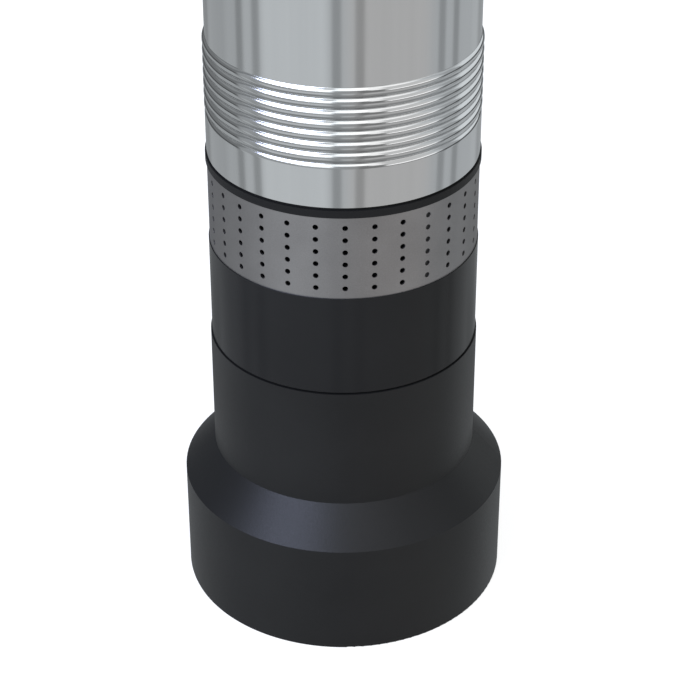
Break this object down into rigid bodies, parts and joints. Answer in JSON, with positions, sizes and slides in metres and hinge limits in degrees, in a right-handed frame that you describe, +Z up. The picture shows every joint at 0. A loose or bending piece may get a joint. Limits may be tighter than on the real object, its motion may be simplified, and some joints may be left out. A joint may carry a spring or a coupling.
{
  "type": "borehole submersible pump",
  "caption": "Slender borehole pump: black foot and base, perforated strainer, ribbed stainless sleeve, multistage impellers, motor, and a head with check valve, outlet port and rope eyes.",
  "frame": {"origin": "middle of the foot's underside, on the pump's axis", "axes": "+Z up along the pump's axis, -Y towards the viewer of the picture, rope eyes on the X axis"},
  "size_m": [0.1248, 0.1248, 0.581],
  "materials": {
    "foot_black": "fine moulded grain, matte",
    "cap_black": "smooth moulded, semi-gloss",
    "casing_black": "moulded, matte",
    "ring_black": "moulded, satin",
    "sleeve_steel": "drawn stainless tube, satin-polished",
    "strainer_steel": "perforated stainless sheet, matte grey",
    "steel": "machined stainless steel",
    "cast_steel": "fine-cast stainless steel, blasted",
    "laminations": "stacked varnished sheets",
    "copper": "varnished copper wire",
    "aluminium": "die-cast",
    "bronze": "turned bronze",
    "rubber": "nitrile rubber",
    "stage_plastic": "glass-filled plastic",
    "valve_white": "acetal",
    "capacitor_white": "smooth plastic case",
    "seal_ceramic": "lapped",
    "carbon": "lapped carbon"
  },
  "bodies": {
    "stand": {"foot": "foot_black"},
    "pump": {"base_cap": "cap_black", "cap_bolts": "steel", "intake_casing": "casing_black", "sleeve_seal": "rubber", "strainer": "strainer_steel", "lip_ring": "ring_black", "lower_bush": "bronze", "suction_cover": "casing_black", "outlet_casing": "casing_black", "motor_flange": "cast_steel", "stator_core": "laminations", "windings": "copper", "motor_can": "steel", "bearing_bracket": "aluminium", "capacitor": "capacitor_white", "motor_cover": "cast_steel", "conduit": "steel", "head": "cast_steel", "head_seal": "rubber", "sleeve": "sleeve_steel", "sleeve_screws": "steel", "rope_eye_left": "steel", "rope_eye_right": "steel", "valve_seat": "bronze", "valve_spring": "steel", "valve_guide": "valve_white", "valve_clip": "steel", "seal_seat": "seal_ceramic", "lip_seal": "rubber", "cable_gland": "bronze", "gland_seal": "rubber", "gland_nut": "bronze", "lower_bearing_outer": "steel", "upper_bearing_outer": "steel", "bowl_1": "casing_black", "guide_1": "stage_plastic", "wear_ring_1": "steel", "bowl_2": "casing_black", "guide_2": "stage_plastic", "wear_ring_2": "steel", "bowl_3": "casing_black", "guide_3": "stage_plastic", "wear_ring_3": "steel", "bowl_4": "casing_black", "guide_4": "stage_plastic", "wear_ring_4": "steel"},
    "rotor": {"shaft": "steel", "shaft_nut": "steel", "seal_ring": "carbon", "rotor_core": "laminations", "rotor_cage": "aluminium", "lower_bearing_inner": "steel", "upper_bearing_inner": "steel", "impeller_1": "stage_plastic", "impeller_2": "stage_plastic", "impeller_3": "stage_plastic", "impeller_4": "stage_plastic"},
    "valve": {"valve_poppet": "valve_white"}
  },
  "joints": [
    {"name": "pump_lift_out", "type": "slide", "parent": "stand", "child": "pump", "axis": [0, 0, 1], "range_m": [0, 0.055]},
    {"name": "rotor_spin", "type": "hinge", "parent": "pump", "child": "rotor", "pos_m": [0, 0, 0.3], "axis": [0, 0, 1], "continuous": true},
    {"name": "valve_lift", "type": "slide", "parent": "pump", "child": "valve", "axis": [0, 0, 1], "range_m": [0, 0.007], "stiffness_N_per_m": 120, "springref_m": -0.005, "deforming": ["valve_spring"]}
  ]
}
